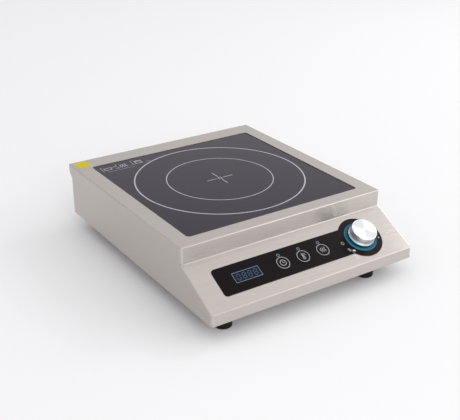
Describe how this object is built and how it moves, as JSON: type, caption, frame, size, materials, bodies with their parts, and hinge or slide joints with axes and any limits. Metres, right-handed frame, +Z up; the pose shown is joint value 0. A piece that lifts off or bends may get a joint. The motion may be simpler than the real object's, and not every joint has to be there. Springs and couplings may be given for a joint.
{
  "type": "countertop induction hob",
  "caption": "Countertop induction hob: square ceramic glass in a stainless casing, sloping control panel with display, push keys and a lit rotary knob.",
  "frame": {"origin": "on the bench under the middle of the outline (casing plus cable gland)", "axes": "+Z up, the control panel faces -Y, +X to the right when facing the controls"},
  "size_m": [0.33, 0.425, 0.1001],
  "materials": {
    "stainless": "brushed",
    "zinc_steel": "satin",
    "ceramic_glass": "polished",
    "silicone": "satin",
    "label_vinyl": "satin",
    "overlay_film": "satin",
    "smoked_lens": "polished",
    "black_plastic": "satin",
    "board": "satin",
    "clear_plastic": "polished",
    "teal_plastic": "polished",
    "aluminium": "spun",
    "die_cast": "satin",
    "coil_plastic": "matte",
    "copper": "satin",
    "ferrite_core": "matte",
    "mica": "satin",
    "white_ceramic": "matte",
    "epoxy_black": "satin",
    "cap_yellow": "satin",
    "relay_blue": "satin",
    "terminal_white": "satin",
    "lead_red": "satin",
    "ribbon_grey": "satin",
    "foot_rubber": "matte"
  },
  "bodies": {
    "housing": {"top_cover": "stainless", "bottom_plate": "stainless", "rear_panel": "stainless", "glass_frame": "stainless", "glass_seal": "silicone", "glass_plate": "ceramic_glass", "corner_label": "label_vinyl", "control_overlay": "overlay_film", "display_lens": "smoked_lens", "display_module": "black_plastic", "control_board": "board", "key_switch_1": "black_plastic", "key_switch_2": "black_plastic", "key_switch_3": "black_plastic", "indicator_pipe": "clear_plastic", "light_ring": "teal_plastic", "encoder_body": "zinc_steel", "board_posts": "zinc_steel", "board_screws": "zinc_steel", "coil_carrier": "coil_plastic", "coil_winding": "copper", "ferrite_1": "ferrite_core", "ferrite_2": "ferrite_core", "ferrite_3": "ferrite_core", "ferrite_4": "ferrite_core", "mica_sheet": "mica", "temp_sensor": "white_ceramic", "coil_posts": "zinc_steel", "coil_grommets": "silicone", "power_board": "board", "board_spacers": "zinc_steel", "heatsink": "die_cast", "power_transistors": "epoxy_black", "film_cap_1": "cap_yellow", "film_cap_2": "cap_yellow", "choke": "copper", "relay": "relay_blue", "terminal_block": "terminal_white", "coil_leads": "lead_red", "ribbon_cable": "ribbon_grey", "fan_frame_1": "black_plastic", "fan_frame_2": "black_plastic", "cable_gland": "black_plastic", "gland_nut": "black_plastic", "gland_locknut": "black_plastic", "foot_1": "foot_rubber", "foot_2": "foot_rubber", "foot_3": "foot_rubber", "foot_4": "foot_rubber", "foot_screws": "zinc_steel", "casing_screws": "zinc_steel"},
    "knob": {"knob_body": "aluminium", "knob_cap": "aluminium", "encoder_shaft": "zinc_steel"},
    "key_left": {"key_1": "overlay_film"},
    "key_middle": {"key_2": "overlay_film"},
    "key_right": {"key_3": "overlay_film"},
    "fan_left": {"fan_rotor_1": "black_plastic"},
    "fan_right": {"fan_rotor_2": "black_plastic"}
  },
  "joints": [
    {"name": "knob_turn", "type": "hinge", "parent": "housing", "child": "knob", "pos_m": [0.1002, -0.17702, 0.05712], "axis": [0, -0.4617, 0.887], "continuous": true},
    {"name": "key_left_press", "type": "slide", "parent": "housing", "child": "key_left", "axis": [0, 0.4617, -0.887], "range_m": [0, 0.0004], "stiffness_N_per_m": 1500, "springref_m": -0.0006},
    {"name": "key_middle_press", "type": "slide", "parent": "housing", "child": "key_middle", "axis": [0, 0.4617, -0.887], "range_m": [0, 0.0004], "stiffness_N_per_m": 1500, "springref_m": -0.0006},
    {"name": "key_right_press", "type": "slide", "parent": "housing", "child": "key_right", "axis": [0, 0.4617, -0.887], "range_m": [0, 0.0004], "stiffness_N_per_m": 1500, "springref_m": -0.0006},
    {"name": "fan_left_spin", "type": "hinge", "parent": "housing", "child": "fan_left", "pos_m": [-0.042, -0.0878, 0.036], "axis": [0, 0, 1], "continuous": true},
    {"name": "fan_right_spin", "type": "hinge", "parent": "housing", "child": "fan_right", "pos_m": [0.042, -0.0878, 0.036], "axis": [0, 0, 1], "continuous": true}
  ]
}
